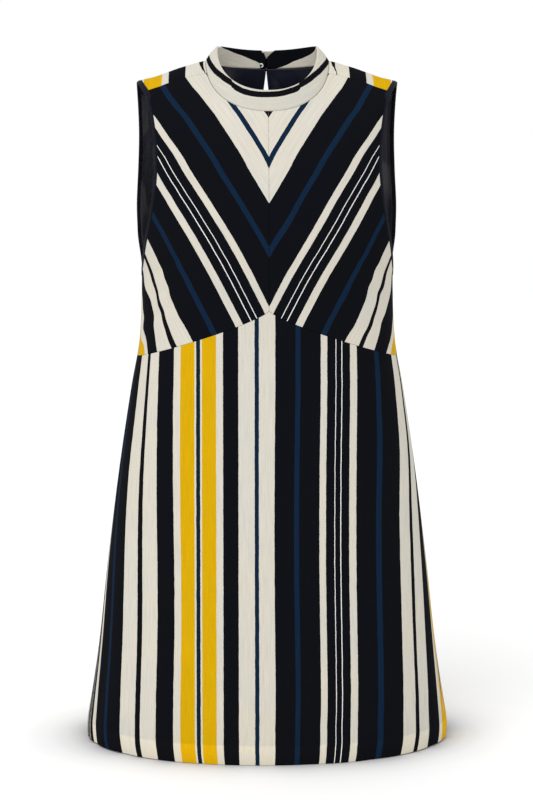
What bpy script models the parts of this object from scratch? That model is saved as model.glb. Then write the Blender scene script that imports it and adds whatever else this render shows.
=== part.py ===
"""A sleeveless A-line mini dress, filled out as if worn, with each cut piece of cloth its own solid.

Metres, +Z up. The dress faces -Y and its wearer's left is +X. The origin lies midway between
the two shoulder ridges, where the wearer holds the dress up.

The form is one smooth surface of rings. A ring is named by its station, the height at which it
crosses the centre front. A point on a ring is named by its angle: 0 at the centre front, 90 at
the side and 180 at the centre back. Each piece of cloth is a patch of that surface between its
seams and edges, and its wall lies just inside the surface.
"""
from collections import namedtuple

import bmesh
import bpy
import numpy as np

# Walls, gaps and trims.
CLOTH_WALL = 0.0014
LINING_WALL = 0.0010
COLLAR_WALL = 0.0026
BINDING_WALL = 0.0024
BINDING_PROUD = 0.0005
BINDING_WIDTH = 0.0050
TAB_WALL = 0.0015
SEAM_GAP = 0.0003

# Heights and angles that place the seams.
SIDE_ANGLE = 90.0
BACK_ANGLE = 180.0
SEAM_PEAK = -0.2995          # the waist seam at the centre front
SEAM_DROP = 0.0610           # how far it falls to the side seam
SEAM_REACH = 0.1665          # the half width over which it falls
SEAM_CURVE = 0.80            # under 1, so it falls fastest next to its peak
SHOULDER_SEAM_AT_NECK = 77.0
LINING_HEM = -0.330
LINING_GAP = 0.0014          # the space between the lining and the panel
LINING_INSET = 0.0012        # how far its edges stay behind those of the panel
KEYHOLE_LENGTH = 0.110
KEYHOLE_FLARE = 0.0135
KEYHOLE_CLOSED = 0.0045      # the length at its top where the two edges meet
KEYHOLE_TOP = 0.0003

# The collar and its closure at the centre back.
COLLAR_LIFT = 0.0030         # how far its top edge rises between the side and the back
COLLAR_END = 0.0006          # half the gap between the two ends
NOTCH_START = 0.58           # the share of the height where the ends begin to part
NOTCH_LEFT = 0.0100          # how far each end has drawn back at the top edge
NOTCH_RIGHT = 0.0045
TAB_HALF_WIDTH = 0.0120
TAB_SPAN = (-0.20, 0.93)     # the shares of the collar's height that the tab covers
TAB_LAP = 0.0006             # how much further out its foot stands, over the panels' edges
HOOK_WIRE_RADIUS = 0.0005
HOOK_GAP = 0.0005            # from the wire to the curved inside of the collar
HOOK_HEIGHT = 0.0095
HOOK_EYE_LIFT = 0.0019       # half the height of its bend
HOOK_ROUTE = (-0.0084, -0.0066, -0.0052, -0.0042)

# How finely each piece is divided.
COLUMNS = 12                 # from the centre front or back to the side
BODICE_SIDE_ROWS = 5
BACK_SIDE_ROWS = 11
FRONT_ARMHOLE_ROWS = 14
BACK_ARMHOLE_ROWS = 19
SHOULDER_ROWS = 5
SKIRT_ROWS = 10
COLLAR_ROWS = 4
COLLAR_COLUMNS = 22
TAB_ROWS = 5
TAB_COLUMNS = 3
CURVE_STEPS = 24

Section = namedtuple(
    "Section", "name front side back width front_depth back_depth squareness drop")
# The heights of each ring at the centre front, the side and the centre back, then its half
# width, its depth before and behind the side, how square it is, and how late its height falls.
SECTIONS = [
    Section("hem", -0.855, -0.852, -0.855, 0.2365, 0.1600, 0.1500, 2.12, 1.0),
    Section("low thigh", -0.740, -0.740, -0.740, 0.2185, 0.1490, 0.1390, 2.20, 1.0),
    Section("thigh", -0.620, -0.620, -0.620, 0.2050, 0.1380, 0.1290, 2.25, 1.0),
    Section("hip", -0.500, -0.500, -0.500, 0.1895, 0.1270, 0.1180, 2.30, 1.0),
    Section("high hip", -0.400, -0.400, -0.400, 0.1740, 0.1170, 0.1070, 2.35, 1.0),
    Section("waist", -0.335, -0.335, -0.335, 0.1628, 0.1120, 0.0990, 2.40, 1.0),
    Section("under bust", -0.295, -0.295, -0.295, 0.1606, 0.1130, 0.0980, 2.40, 1.0),
    Section("underarm", -0.258, -0.258, -0.258, 0.1598, 0.1170, 0.1010, 2.40, 1.05),
    Section("bust", -0.222, -0.200, -0.212, 0.1690, 0.1185, 0.1040, 2.35, 1.2),
    Section("armpit", -0.188, -0.138, -0.165, 0.1720, 0.1160, 0.1040, 2.25, 1.4),
    Section("chest", -0.158, -0.075, -0.120, 0.1686, 0.1105, 0.1010, 2.20, 1.8),
    Section("shoulder tip", -0.128, -0.0165, -0.080, 0.1648, 0.1020, 0.0960, 2.15, 2.0),
    Section("mid shoulder", -0.105, -0.0080, -0.052, 0.1400, 0.0940, 0.0890, 2.10, 1.8),
    Section("near neck", -0.080, 0.0034, -0.023, 0.1080, 0.0850, 0.0780, 2.10, 1.4),
    Section("neck", -0.055, 0.0120, 0.0066, 0.0780, 0.0750, 0.0620, 2.20, 1.0),
]
COLLAR_TOP = Section("collar top", -0.0282, 0.0287, 0.0288, 0.0640, 0.0620, 0.0520, 2.20, 1.0)
HEM, NECK = SECTIONS[0], SECTIONS[-1]

EdgePoint = namedtuple("EdgePoint", "angle station")
# The finished armhole edge, from the underarm up the front to the shoulder seam.
ARMHOLE_FRONT = [
    EdgePoint(90.0, -0.2560), EdgePoint(77.5, -0.2465), EdgePoint(68.4, -0.2340),
    EdgePoint(61.9, -0.2190), EdgePoint(57.0, -0.1990), EdgePoint(54.8, -0.1820),
    EdgePoint(54.6, -0.1680), EdgePoint(56.0, -0.1530), EdgePoint(58.8, -0.1420),
    EdgePoint(62.5, -0.1335), EdgePoint(67.5, -0.1275), EdgePoint(70.7, -0.1257)]
# The same edge from the shoulder seam over the ridge and down the back to the underarm.
ARMHOLE_BACK = [
    EdgePoint(80.0, -0.1268), EdgePoint(88.5, -0.1281), EdgePoint(95.0, -0.1325),
    EdgePoint(100.8, -0.1428), EdgePoint(104.6, -0.1590), EdgePoint(106.2, -0.1820),
    EdgePoint(103.2, -0.2050), EdgePoint(101.0, -0.2250), EdgePoint(97.5, -0.2440)]


# The surface -------------------------------------------------------------------------------

def slopes(stations, values):
    """Slopes at the stations that keep a curve through the values from overshooting them."""
    steps = np.diff(stations)
    rises = np.diff(values) / steps
    result = np.concatenate(([rises[0]], np.zeros(len(values) - 2), [rises[-1]]))
    for i in range(1, len(values) - 1):
        if rises[i - 1] * rises[i] > 0:
            before = 2 * steps[i] + steps[i - 1]
            after = steps[i] + 2 * steps[i - 1]
            result[i] = (before + after) / (before / rises[i - 1] + after / rises[i])
    return result


STATIONS = np.array([row.front for row in SECTIONS])
COLUMN_VALUES = {
    name: np.array([getattr(row, name) for row in SECTIONS]) for name in Section._fields[1:]}
COLUMN_SLOPES = {name: slopes(STATIONS, values) for name, values in COLUMN_VALUES.items()}


def column(name, station):
    """One column of the table of sections at any station, on a smooth curve through its rows."""
    station = np.clip(station, STATIONS[0], STATIONS[-1])
    values, tilts = COLUMN_VALUES[name], COLUMN_SLOPES[name]
    row = np.clip(np.searchsorted(STATIONS, station, side="right") - 1, 0, len(STATIONS) - 2)
    step = STATIONS[row + 1] - STATIONS[row]
    u = (station - STATIONS[row]) / step
    return ((1 + 2 * u) * (1 - u) ** 2 * values[row] + u * (1 - u) ** 2 * step * tilts[row]
            + u * u * (3 - 2 * u) * values[row + 1] + u * u * (u - 1) * step * tilts[row + 1])


def ring_point(angle, shape):
    """Points at the angles on rings whose sizes shape(name) gives."""
    turn = np.radians(angle)
    power = 2 / shape("squareness")
    ahead = np.cos(turn) >= 0
    reach = np.abs(np.cos(turn)) ** power
    x = shape("width") * np.abs(np.sin(turn)) ** power
    y = np.where(ahead, -shape("front_depth"), shape("back_depth")) * reach
    end = np.where(ahead, shape("front"), shape("back"))
    z = shape("side") + (end - shape("side")) * reach ** shape("drop")
    return np.stack([x, y, z], axis=-1)


def surface(place):
    """Points of the wearer's left half of the dress, from an array of angles and stations."""
    return ring_point(place[..., 0], lambda name: column(name, place[..., 1]))


def tangents(place):
    """How far the surface runs in one degree of angle, and in one metre of station."""
    turn, rise = np.array([0.5, 0.0]), np.array([0.0, 0.0005])
    more, less = place + turn, place - turn
    more[..., 0] = np.minimum(more[..., 0], BACK_ANGLE)
    less[..., 0] = np.maximum(less[..., 0], 0.0)
    by_angle = surface(more) - surface(less)
    by_station = (surface(place + rise) - surface(place - rise)) / (2 * rise[1])
    return by_angle, by_station


def inside(place, depth):
    """Points that lie a depth below the surface."""
    out = np.cross(*tangents(place))
    return surface(place) - depth * out / np.linalg.norm(out, axis=-1)[..., None]


def places(angle, station):
    """An array of angles and stations, from numbers or arrays that go together."""
    return np.stack(np.broadcast_arrays(angle, station), axis=-1).astype(float)


def angle_at_width(half_width, width, squareness):
    """The angle behind the side at which a ring is half_width from the centre line."""
    return BACK_ANGLE - np.degrees(np.arcsin((half_width / width) ** (squareness / 2)))


# Lines on the surface ----------------------------------------------------------------------

def waist_seam(angle):
    """The station of the arched waist seam at each angle of the front."""
    station = np.full(np.shape(angle), SEAM_PEAK)
    for _ in range(6):
        out = surface(places(angle, station))[..., 0] / SEAM_REACH
        station = SEAM_PEAK - SEAM_DROP * out ** SEAM_CURVE
    return station


def smooth_loop(points):
    """A closed smooth curve through the points, with CURVE_STEPS steps from each to the next."""
    points = np.array(points, dtype=float)
    u = np.linspace(0, 1, CURVE_STEPS, endpoint=False)[:, None]
    legs = []
    for i in range(len(points)):
        a, b, c, d = (points[(i + k) % len(points)] for k in (-1, 0, 1, 2))
        legs.append(0.5 * (2 * b + (c - a) * u + (2 * a - 5 * b + 4 * c - d) * u ** 2
                           + (3 * b - a - 3 * c + d) * u ** 3))
    return np.concatenate(legs + [points[:1]])


def evenly(line, count):
    """The same line on the surface with count equal steps."""
    lengths = np.linalg.norm(np.diff(surface(line), axis=0), axis=1)
    along = np.concatenate(([0], np.cumsum(lengths)))
    wanted = np.linspace(0, along[-1], count + 1)
    return np.stack([np.interp(wanted, along, line[:, i]) for i in (0, 1)], axis=-1)


def armhole_loop():
    """The finished armhole edge: underarm, front, shoulder seam, ridge, back, underarm."""
    dense = smooth_loop(ARMHOLE_FRONT + ARMHOLE_BACK)
    corner = (len(ARMHOLE_FRONT) - 1) * CURVE_STEPS
    front = evenly(dense[:corner + 1], FRONT_ARMHOLE_ROWS)
    back = evenly(dense[corner:], BACK_ARMHOLE_ROWS)
    return np.concatenate([front, back[1:-1]])


def set_back(loop, distance):
    """A closed clockwise line moved on the surface, away from the hole that it runs round."""
    tangent = np.roll(loop, -1, axis=0) - np.roll(loop, 1, axis=0)
    by_angle, by_station = tangents(loop)
    run = by_angle * tangent[:, :1] + by_station * tangent[:, 1:]
    out = np.cross(by_angle, by_station)
    away = np.cross(out, run)
    away *= distance / np.linalg.norm(away, axis=1)[:, None]
    moved = np.empty_like(loop)
    for i, (a, s, w) in enumerate(zip(by_angle, by_station, away)):
        moved[i] = loop[i] + np.linalg.solve([[a @ a, a @ s], [a @ s, s @ s]], [a @ w, s @ w])
    return moved


ARMHOLE = armhole_loop()
PANEL_ARMHOLE = set_back(ARMHOLE, BINDING_WIDTH + SEAM_GAP / 2)
UNDERARM = PANEL_ARMHOLE[0]
SHOULDER_CORNER = PANEL_ARMHOLE[FRONT_ARMHOLE_ROWS]
FRONT_EDGE = PANEL_ARMHOLE[:FRONT_ARMHOLE_ROWS + 1]
BACK_EDGE = np.concatenate([PANEL_ARMHOLE[FRONT_ARMHOLE_ROWS:], PANEL_ARMHOLE[:1]])[::-1]


def line(start, end, count):
    """A straight line of angles and stations in count steps."""
    share = np.linspace(0, 1, count + 1)[:, None]
    return (1 - share) * np.array(start) + share * np.array(end)


def keyhole_half_width(depth):
    """Half the width of the teardrop slit at a depth below the neck edge."""
    share = np.clip((depth - KEYHOLE_CLOSED) / (KEYHOLE_LENGTH - KEYHOLE_CLOSED), 0, 1)
    flare = KEYHOLE_FLARE * share * np.sqrt(1 - share ** 8)
    return flare + KEYHOLE_TOP * (1 - share)


# Grids of points ---------------------------------------------------------------------------

def patch(bottom, top, start, end):
    """Angles and stations filling the space between four edges that share their corners."""
    v = np.linspace(0, 1, len(start))[:, None, None]
    u = np.linspace(0, 1, len(bottom))[None, :, None]
    rows = (1 - v) * bottom[None] + v * top[None]
    columns = (1 - u) * start[:, None] + u * end[:, None]
    corners = ((1 - u) * (1 - v) * bottom[0] + u * (1 - v) * bottom[-1]
               + (1 - u) * v * top[0] + u * v * top[-1])
    return rows + columns - corners


def draw_in(grid, distance):
    """Move each edge of a grid of points inwards by a distance, square to the edge."""
    for border, inner in ((grid[0], grid[1]), (grid[-1], grid[-2]),
                          (grid[:, 0], grid[:, 1]), (grid[:, -1], grid[:, -2])):
        along = np.gradient(border, axis=0)
        along /= np.linalg.norm(along, axis=1)[:, None]
        inwards = inner - border
        inwards -= np.sum(inwards * along, axis=1)[:, None] * along
        border += distance * inwards / np.linalg.norm(inwards, axis=1)[:, None]
    return grid


def outwards(grid):
    """The unit normals of a grid of points."""
    normals = np.cross(np.gradient(grid, axis=1), np.gradient(grid, axis=0))
    return normals / np.linalg.norm(normals, axis=2)[..., None]


def cloth(place):
    """The inner face of a cloth panel that fills the angles and stations."""
    return draw_in(inside(place, CLOTH_WALL), SEAM_GAP / 2)


def mirrored(grid):
    """The wearer's right side of a grid of the left, its columns still in order of angle."""
    return grid[:, ::-1] * (-1, 1, 1)


def front_bodice_grid():
    angles = np.linspace(0, SIDE_ANGLE, COLUMNS + 1)
    seam = waist_seam(angles)
    neck_corner = (SHOULDER_SEAM_AT_NECK, NECK.front)
    side = line((SIDE_ANGLE, seam[-1]), UNDERARM, BODICE_SIDE_ROWS)
    shoulder = line(SHOULDER_CORNER, neck_corner, SHOULDER_ROWS)
    end = np.concatenate([side, FRONT_EDGE[1:], shoulder[1:]])
    start = line((0, seam[0]), (0, NECK.front), len(end) - 1)
    top = line((0, NECK.front), neck_corner, COLUMNS)
    return cloth(patch(places(angles, seam), top, start, end))


def front_skirt_grid():
    angles = np.linspace(0, SIDE_ANGLE, COLUMNS + 1)
    share = np.linspace(0, 1, SKIRT_ROWS + 1)[:, None]
    stations = (1 - share) * HEM.front + share * waist_seam(angles)
    half = inside(places(angles, stations), CLOTH_WALL)
    return draw_in(np.concatenate([mirrored(half)[:, :-1], half], axis=1), SEAM_GAP / 2)


def back_places():
    """A back panel, from the side seam, armhole and shoulder seam to the centre back."""
    neck_corner = (SHOULDER_SEAM_AT_NECK, NECK.front)
    side = line((SIDE_ANGLE, HEM.front), UNDERARM, BACK_SIDE_ROWS)
    shoulder = line(SHOULDER_CORNER, neck_corner, SHOULDER_ROWS)
    start = np.concatenate([side, BACK_EDGE[1:], shoulder[1:]])
    lower = np.linspace(HEM.front, UNDERARM[1], BACK_SIDE_ROWS + 1)
    upper = np.linspace(UNDERARM[1], NECK.front, len(start) - BACK_SIDE_ROWS)
    stations = np.concatenate([lower, upper[1:]])
    depth = NECK.back - column("back", stations)
    slit = np.where(depth < KEYHOLE_LENGTH, keyhole_half_width(depth), 0)
    angles = angle_at_width(slit, column("width", stations), column("squareness", stations))
    end = places(angles, stations)
    bottom = line(start[0], end[0], COLUMNS)
    top = line(start[-1], end[-1], COLUMNS)
    return patch(bottom, top, start, end)


def lining_grid(place):
    """The inner face of the lining behind the upper part of a back panel."""
    first = int(np.argmax(place[:, 0, 1] > LINING_HEM))
    lining = inside(place[first:], CLOTH_WALL + LINING_GAP + LINING_WALL)
    return draw_in(lining, LINING_INSET)


def collar_face(share, angles):
    """Points of the collar's outer face at shares of its height and at angles."""
    base = ring_point(angles, lambda name: getattr(NECK, name))
    top = ring_point(angles, lambda name: getattr(COLLAR_TOP, name))
    behind = np.clip(top[..., 1] / COLLAR_TOP.back_depth, 0, 1)
    top[..., 2] += COLLAR_LIFT * 4 * behind * (1 - behind)
    return base + share[..., None] * (top - base)


def back_angle(half_width):
    """The angle at which the collar's top is that far from the centre back."""
    return float(angle_at_width(half_width, COLLAR_TOP.width, COLLAR_TOP.squareness))


def collar_half(draw_back):
    """Half of the collar, from the centre front to an end that is drawn back at its top."""
    share = np.linspace(SEAM_GAP / (COLLAR_TOP.side - NECK.side), 1, COLLAR_ROWS + 1)
    opening = np.clip((share - NOTCH_START) / (1 - NOTCH_START), 0, 1)
    ends = [back_angle(COLLAR_END + draw_back * part) for part in opening]
    angles = np.array(ends)[:, None] * np.linspace(0, 1, COLLAR_COLUMNS + 1)
    return collar_face(np.broadcast_to(share[:, None], angles.shape), angles)


def collar_grid():
    """The inner face of the collar, from its right end round the front to its left end."""
    right, left = mirrored(collar_half(NOTCH_RIGHT)), collar_half(NOTCH_LEFT)
    face = np.concatenate([right[:, :-1], left], axis=1)
    return face - outwards(face) * COLLAR_WALL


def tab_grid():
    """The inner face of the tab that lies outside the collar behind its notch."""
    share = np.linspace(*TAB_SPAN, TAB_ROWS + 1)[:, None]
    angles = np.linspace(back_angle(TAB_HALF_WIDTH), BACK_ANGLE, TAB_COLUMNS + 1)
    half = collar_face(share + 0 * angles, angles + 0 * share)
    face = np.concatenate([half, mirrored(half)[:, 1:]], axis=1)
    lap = TAB_LAP * np.clip(share / TAB_SPAN[0], 0, 1)
    return face + outwards(face) * (SEAM_GAP + lap)[..., None]


def binding_grid():
    """The armhole binding: a band from the finished edge to the panels' edges."""
    band = np.stack([ARMHOLE, set_back(ARMHOLE, BINDING_WIDTH)])
    return inside(band, BINDING_WALL - BINDING_PROUD)


# Objects -----------------------------------------------------------------------------------

def material(name, color, roughness):
    """A plain cloth material."""
    result = bpy.data.materials.new(name)
    result.use_nodes = True
    shader = result.node_tree.nodes["Principled BSDF"]
    shader.inputs["Base Color"].default_value = (*color, 1.0)
    shader.inputs["Roughness"].default_value = roughness
    return result


def triangles(a, b, c, d):
    """A four-sided face as two triangles, cut along its shorter diagonal."""
    if (c.co - a.co).length <= (d.co - b.co).length:
        return (a, b, c), (a, c, d)
    return (a, b, d), (b, c, d)


def sheet(name, grid, wall, finish, closed=False):
    """One named solid: the grid of points of a piece's inner face, and a wall outside it."""
    mesh = bmesh.new()
    rows = [[mesh.verts.new(point) for point in row] for row in grid]
    if closed:
        rows = [row + row[:1] for row in rows]
    for low, high in zip(rows, rows[1:]):
        for j in range(len(low) - 1):
            for corners in triangles(low[j], low[j + 1], high[j + 1], high[j]):
                mesh.faces.new(corners)
    data = bpy.data.meshes.new(name)
    mesh.to_mesh(data)
    mesh.free()
    data.shade_smooth()
    data.materials.append(finish)
    piece = bpy.data.objects.new(name, data)
    dress.objects.link(piece)
    solid = piece.modifiers.new("wall", "SOLIDIFY")
    solid.thickness = wall
    solid.offset = 1
    solid.use_even_offset = True
    return piece


def hook(name, finish):
    """The bent wire of a hook, lying on the inside of the collar at its right end."""
    lean = (COLLAR_TOP.back_depth - NECK.back_depth) / (COLLAR_TOP.back - NECK.back)
    depth = (COLLAR_WALL + HOOK_GAP + HOOK_WIRE_RADIUS) * (1 + lean ** 2) ** 0.5
    lift = (HOOK_EYE_LIFT, HOOK_EYE_LIFT, HOOK_EYE_LIFT, 0.0)
    run = list(zip(HOOK_ROUTE, lift))
    run += [(x, -rise) for x, rise in reversed(run[1:3])]
    wire = bpy.data.curves.new(name, "CURVE")
    wire.dimensions = "3D"
    wire.bevel_depth = HOOK_WIRE_RADIUS
    wire.bevel_resolution = 1
    wire.use_fill_caps = True
    spline = wire.splines.new("POLY")
    spline.points.add(len(run) - 1)
    for point, (x, rise) in zip(spline.points, run):
        height = HOOK_HEIGHT + rise
        face = NECK.back_depth + lean * (height - NECK.back)
        bend = x * x / (2 * COLLAR_TOP.back_depth)
        point.co = (x, face - depth - bend, height, 1.0)
    wire.materials.append(finish)
    piece = bpy.data.objects.new(name, wire)
    dress.objects.link(piece)


for leftover in list(bpy.data.objects):
    bpy.data.objects.remove(leftover, do_unlink=True)
dress = bpy.data.collections.new("a_line_dress")
bpy.context.scene.collection.children.link(dress)

STRIPED = material("striped_cloth", (0.30, 0.29, 0.25), 0.80)
BODICE = material("bodice_cloth", (0.010, 0.013, 0.020), 0.80)
COLLAR_CLOTH = material("collar_cloth", (0.78, 0.74, 0.65), 0.80)
SATIN = material("lining_satin", (0.006, 0.008, 0.022), 0.35)
BINDING_CLOTH = material("binding_cloth", (0.007, 0.010, 0.026), 0.60)
THREAD = material("hook_wire", (0.80, 0.80, 0.78), 0.40)


def both_sides(name, grid, wall, finish, closed=False):
    """A piece on each side of the dress, named for the wearer's left and right."""
    sheet(name + "_left", grid, wall, finish, closed)
    sheet(name + "_right", mirrored(grid), wall, finish, closed)


def build_dress():
    back = back_places()
    both_sides("front_bodice", front_bodice_grid(), CLOTH_WALL, BODICE)
    sheet("front_skirt", front_skirt_grid(), CLOTH_WALL, STRIPED)
    both_sides("back", cloth(back), CLOTH_WALL, STRIPED)
    both_sides("back_lining", lining_grid(back), LINING_WALL, SATIN)
    both_sides("armhole_binding", binding_grid(), BINDING_WALL, BINDING_CLOTH, closed=True)
    sheet("collar", collar_grid(), COLLAR_WALL, COLLAR_CLOTH)
    sheet("collar_tab", tab_grid(), TAB_WALL, COLLAR_CLOTH)
    hook("neck_hook", THREAD)


build_dress()
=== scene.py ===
"""The looks of the sleeveless A-line dress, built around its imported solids.

Every piece of cloth is a fine shell on the same smooth surface of rings as its solid. A ring is
named by its station, the height at which it crosses the centre front. A point on a ring is named
by its angle: 0 at the centre front, 90 at the side and 180 at the centre back. The printed
stripes follow one length on each vertex, measured across the cloth, so they bend with the cut.
"""
import math
from collections import namedtuple

import bpy
import numpy as np
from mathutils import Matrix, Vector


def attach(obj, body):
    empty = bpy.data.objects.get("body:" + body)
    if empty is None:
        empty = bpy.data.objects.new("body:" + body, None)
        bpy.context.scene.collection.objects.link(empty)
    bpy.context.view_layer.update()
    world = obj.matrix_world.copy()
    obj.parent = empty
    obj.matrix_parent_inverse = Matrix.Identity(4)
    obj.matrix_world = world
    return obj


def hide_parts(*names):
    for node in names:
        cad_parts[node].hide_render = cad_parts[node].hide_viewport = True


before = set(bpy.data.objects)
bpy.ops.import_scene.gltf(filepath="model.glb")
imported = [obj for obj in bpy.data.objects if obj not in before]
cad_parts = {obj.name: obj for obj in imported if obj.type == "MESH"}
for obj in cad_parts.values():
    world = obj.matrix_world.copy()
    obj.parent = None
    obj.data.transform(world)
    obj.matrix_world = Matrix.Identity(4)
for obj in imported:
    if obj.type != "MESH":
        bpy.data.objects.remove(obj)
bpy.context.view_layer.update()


def table(columns, *rows):
    """The rows of a table with named columns."""
    kind = namedtuple("Row", columns)
    return [kind(*row) for row in rows]


# Walls and trims, in metres, as the solids have them.
CLOTH_WALL = 0.0014
LINING_WALL = 0.0010
LINING_GAP = 0.0014
LINING_INSET = 0.0012
COLLAR_WALL = 0.0026
BINDING_WALL = 0.0024
BINDING_PROUD = 0.0005
BINDING_WIDTH = 0.0050
TAB_WALL = 0.0015
SEAM_GAP = 0.0003

SIDE_ANGLE = 90.0
BACK_ANGLE = 180.0
SEAM_PEAK = -0.2995
SEAM_DROP = 0.0610
SEAM_REACH = 0.1665
SEAM_CURVE = 0.80
SHOULDER_SEAM_AT_NECK = 77.0
LINING_HEM = -0.330
HEM_TURN = 0.033             # the height of the turned-up hem
KEYHOLE_LENGTH = 0.110
KEYHOLE_FLARE = 0.0135
KEYHOLE_CLOSED = 0.0045
KEYHOLE_TOP = 0.0003
COLLAR_LIFT = 0.0030
COLLAR_END = 0.0006
NOTCH_START = 0.58
NOTCH_LEFT = 0.0100
NOTCH_RIGHT = 0.0045
TAB_HALF_WIDTH = 0.0120
TAB_SPAN = (-0.20, 0.93)
TAB_LAP = 0.0006
TAB_ROUNDED = 0.9            # the most that its rounded edge draws back, in shares of its radius
TAB_DARK, TAB_LIGHT = 240.8, 250.0   # the print's threads at the tab's foot and at its top
TAB_CHANGE = (0.50, 0.60)    # the shares of the collar's height between which they change
HOOK_WIRE_RADIUS = 0.0005
HOOK_COATED_RADIUS = 0.00085   # with its lacquer
HOOK_GAP = 0.0005
HOOK_HEIGHT = 0.0095
HOOK_EYE_LIFT = 0.0019
HOOK_ROUTE = (-0.0084, -0.0066, -0.0052, -0.0042)

# How finely each piece is divided.
COLUMNS = 48
BODICE_SIDE_ROWS = 22
BACK_SIDE_ROWS = 110
FRONT_ARMHOLE_ROWS = 56
BACK_ARMHOLE_ROWS = 72
SHOULDER_ROWS = 24
SKIRT_ROWS = 96
COLLAR_ROWS = 12
COLLAR_COLUMNS = 90
TAB_ROWS = 8
TAB_COLUMNS = 8
CURVE_STEPS = 24
EDGE_SHARES = (0.12, 0.30, 0.60)    # extra lines within the first cell next to each edge

# The rings from the hem to the neck, and the one at the collar's top: the heights at their front,
# side and back, their half width and depths, and how square they are and how they drop between.
*SECTIONS, COLLAR_TOP = table(
    "name front side back width front_depth back_depth squareness drop",
    ("hem", -0.855, -0.852, -0.855, 0.2365, 0.1600, 0.1500, 2.12, 1.0),
    ("low thigh", -0.740, -0.740, -0.740, 0.2185, 0.1490, 0.1390, 2.20, 1.0),
    ("thigh", -0.620, -0.620, -0.620, 0.2050, 0.1380, 0.1290, 2.25, 1.0),
    ("hip", -0.500, -0.500, -0.500, 0.1895, 0.1270, 0.1180, 2.30, 1.0),
    ("high hip", -0.400, -0.400, -0.400, 0.1740, 0.1170, 0.1070, 2.35, 1.0),
    ("waist", -0.335, -0.335, -0.335, 0.1628, 0.1120, 0.0990, 2.40, 1.0),
    ("under bust", -0.295, -0.295, -0.295, 0.1606, 0.1130, 0.0980, 2.40, 1.0),
    ("underarm", -0.258, -0.258, -0.258, 0.1598, 0.1170, 0.1010, 2.40, 1.05),
    ("bust", -0.222, -0.200, -0.212, 0.1690, 0.1185, 0.1040, 2.35, 1.2),
    ("armpit", -0.188, -0.138, -0.165, 0.1720, 0.1160, 0.1040, 2.25, 1.4),
    ("chest", -0.158, -0.075, -0.120, 0.1686, 0.1105, 0.1010, 2.20, 1.8),
    ("shoulder tip", -0.128, -0.0165, -0.080, 0.1648, 0.1020, 0.0960, 2.15, 2.0),
    ("mid shoulder", -0.105, -0.0080, -0.052, 0.1400, 0.0940, 0.0890, 2.10, 1.8),
    ("near neck", -0.080, 0.0034, -0.023, 0.1080, 0.0850, 0.0780, 2.10, 1.4),
    ("neck", -0.055, 0.0120, 0.0066, 0.0780, 0.0750, 0.0620, 2.20, 1.0),
    ("collar top", -0.0282, 0.0287, 0.0288, 0.0640, 0.0620, 0.0520, 2.20, 1.0))
HEM, NECK = SECTIONS[0], SECTIONS[-1]

ARMHOLE_FRONT = table(
    "angle station",
    (90.0, -0.2560), (77.5, -0.2465), (68.4, -0.2340), (61.9, -0.2190), (57.0, -0.1990),
    (54.8, -0.1820), (54.6, -0.1680), (56.0, -0.1530), (58.8, -0.1420), (62.5, -0.1335),
    (67.5, -0.1275), (70.7, -0.1257))
ARMHOLE_BACK = table(
    "angle station",
    (80.0, -0.1268), (88.5, -0.1281), (95.0, -0.1325), (100.8, -0.1428), (104.6, -0.1590),
    (106.2, -0.1820), (103.2, -0.2050), (101.0, -0.2250), (97.5, -0.2440))

# The printed stripe: each band's colour and width, in threads of PITCH metres.
PITCH = 0.00124
BANDS = table(
    "color width",
    ("yellow", 14.5), ("cream", 1.8), ("petrol", 4.2), ("cream", 1.7), ("yellow", 14.5), ("cream", 6.9),
    ("black", 15.3), ("cream", 16.1), ("blue", 4.1), ("cream", 15.5), ("black", 19.9), ("blue", 5.0),
    ("black", 20.4), ("cream", 6.5), ("black", 8.5), ("white", 0.75), ("black", 5.45), ("white", 0.85),
    ("black", 8.15), ("cream", 7.2), ("black", 19.4), ("blue", 5.4), ("black", 20.3), ("cream", 15.6),
    ("black", 5.4), ("cream", 16.3), ("black", 17.1), ("cream", 7.2))
REPEAT = sum(band.width for band in BANDS)

# Where the stripes lie on each piece, counted in threads from the first yellow band.
SKIRT_AT_FRONT = 89.6
# Threads of the ring's length from the centre front, and the print's threads that lie there.
SKIRT_STRIPES = table(
    "reach left right",
    (0.0, 0.0, 0.0), (60.0, 60.0, 60.0), (90.0, 89.0, 89.7), (115.0, 110.5, 112.4),
    (141.0, 132.0, 135.0), (162.0, 151.5, 151.4), (182.0, 170.3, 172.0), (205.0, 189.0, 195.0),
    (260.0, 236.0, 250.0))
# The threads gained for each thread beyond a reach, round a height, on the wearer's left (1)
# or right (-1), where the print draws together towards the side.
SKIRT_GAINS = table(
    "side gain reach height spread",
    (-1, 0.33, 114.0, -0.350, 0.125), (1, -0.07, 95.0, -0.470, 0.060), (1, 0.05, 95.0, -0.340, 0.030))
GAIN_START = 12.0            # the threads over which such a gain sets in
# The threads by which the hanging print sways on the wearer's left and on the far right.
SKIRT_SWAYS = table(
    "height left right",
    (-0.855, 0.0, 0.3), (-0.811, -0.3, 0.3), (-0.774, -0.9, 0.0), (-0.725, -0.6, -0.9),
    (-0.676, -0.1, -1.4), (-0.627, 0.4, -1.2), (-0.578, 0.5, -0.5), (-0.529, 0.3, 0.2),
    (-0.480, -0.1, 0.6), (-0.431, -0.8, 0.7), (-0.382, -1.3, 0.4), (-0.300, -1.3, 0.0))
SWAY_LEFT = (-0.030, 0.060)  # where the left's sway sets in, and the width over which it grows
SWAY_RIGHT = (0.085, 0.040)
HEM_DRAW = 0.017             # the share by which the print draws together at the hem
HEM_DRAW_HEIGHT = 0.030

BACK_AT_CENTRE = 174.5
SHOULDER_LEVELS = (-0.130, -0.020)  # the back's stripes run true to the ring, then to the ridge
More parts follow.
